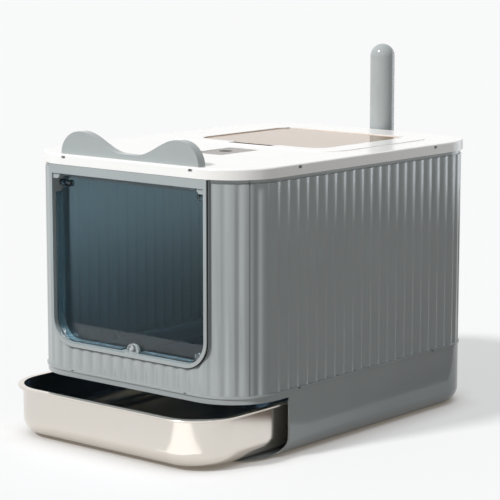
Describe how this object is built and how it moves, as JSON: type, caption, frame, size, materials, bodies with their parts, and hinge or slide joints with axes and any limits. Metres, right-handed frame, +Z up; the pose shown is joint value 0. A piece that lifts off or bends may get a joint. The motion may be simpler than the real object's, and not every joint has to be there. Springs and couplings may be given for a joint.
{
  "type": "top entry litter box",
  "caption": "Enclosed litter box with fluted walls, a pull-out steel pan, a see-through front flap, a lift-up top hatch, cat-ear plate and a scoop in a rear holder.",
  "frame": {"origin": "on the floor, under the middle of the cabinet", "axes": "+Z up, -Y out of the front door, +X to the right-hand side as seen from the front"},
  "size_m": [0.388, 0.6315, 0.503],
  "materials": {
    "grey_plastic": "satin",
    "dark_grey_plastic": "satin",
    "white_plastic": "semi-gloss",
    "tan_plastic": "glossy",
    "smoked_plastic": "glossy, see-through",
    "clear_plastic": "glossy, clear",
    "steel_sheet": "polished",
    "steel_parts": "polished",
    "black_plastic": "satin",
    "charcoal_felt": "rough"
  },
  "bodies": {
    "base": {"base_shell": "grey_plastic", "front_panel": "grey_plastic", "left_panel": "grey_plastic", "right_panel": "grey_plastic", "back_panel": "grey_plastic", "corner_strips": "dark_grey_plastic", "door_frame": "grey_plastic", "flap_stops": "clear_plastic", "flap_hinge_pins": "clear_plastic", "scoop_holder": "grey_plastic", "holder_screws": "steel_parts"},
    "pan": {"steel_pan": "steel_sheet"},
    "flap": {"flap_door": "smoked_plastic"},
    "latch": {"latch_knob": "steel_parts", "latch_cam": "dark_grey_plastic"},
    "lid": {"lid": "white_plastic", "ear_plate": "grey_plastic", "ear_screws": "steel_parts", "hatch_hinge_pins": "steel_parts", "deodorizer_block": "charcoal_felt"},
    "hatch": {"hatch": "tan_plastic", "hatch_pull": "black_plastic"},
    "cover": {"deodorizer_cover": "tan_plastic"},
    "scoop": {"scoop_handle": "grey_plastic", "scoop_head": "grey_plastic"}
  },
  "joints": [
    {"name": "pan_slide", "type": "slide", "parent": "base", "child": "pan", "axis": [0, -1, 0], "range_m": [-0.0615, 0.38]},
    {"name": "flap_hinge", "type": "hinge", "parent": "base", "child": "flap", "pos_m": [0, -0.25, 0.338], "axis": [1, 0, 0], "range_deg": [0, 80]},
    {"name": "latch_turn", "type": "hinge", "parent": "base", "child": "latch", "pos_m": [0, -0.25, 0.1307], "axis": [0, 1, 0], "range_deg": [0, 90]},
    {"name": "lid_lift", "type": "slide", "parent": "base", "child": "lid", "axis": [0, 0, 1], "range_m": [0, 0.2]},
    {"name": "hatch_hinge", "type": "hinge", "parent": "lid", "child": "hatch", "pos_m": [0, 0.1945, 0.3746], "axis": [-1, 0, 0], "range_deg": [0, 95]},
    {"name": "cover_lift", "type": "slide", "parent": "lid", "child": "cover", "axis": [0, 0, 1], "range_m": [0, 0.03]},
    {"name": "scoop_lift", "type": "slide", "parent": "base", "child": "scoop", "axis": [0, 0, 1], "range_m": [0, 0.2]}
  ]
}
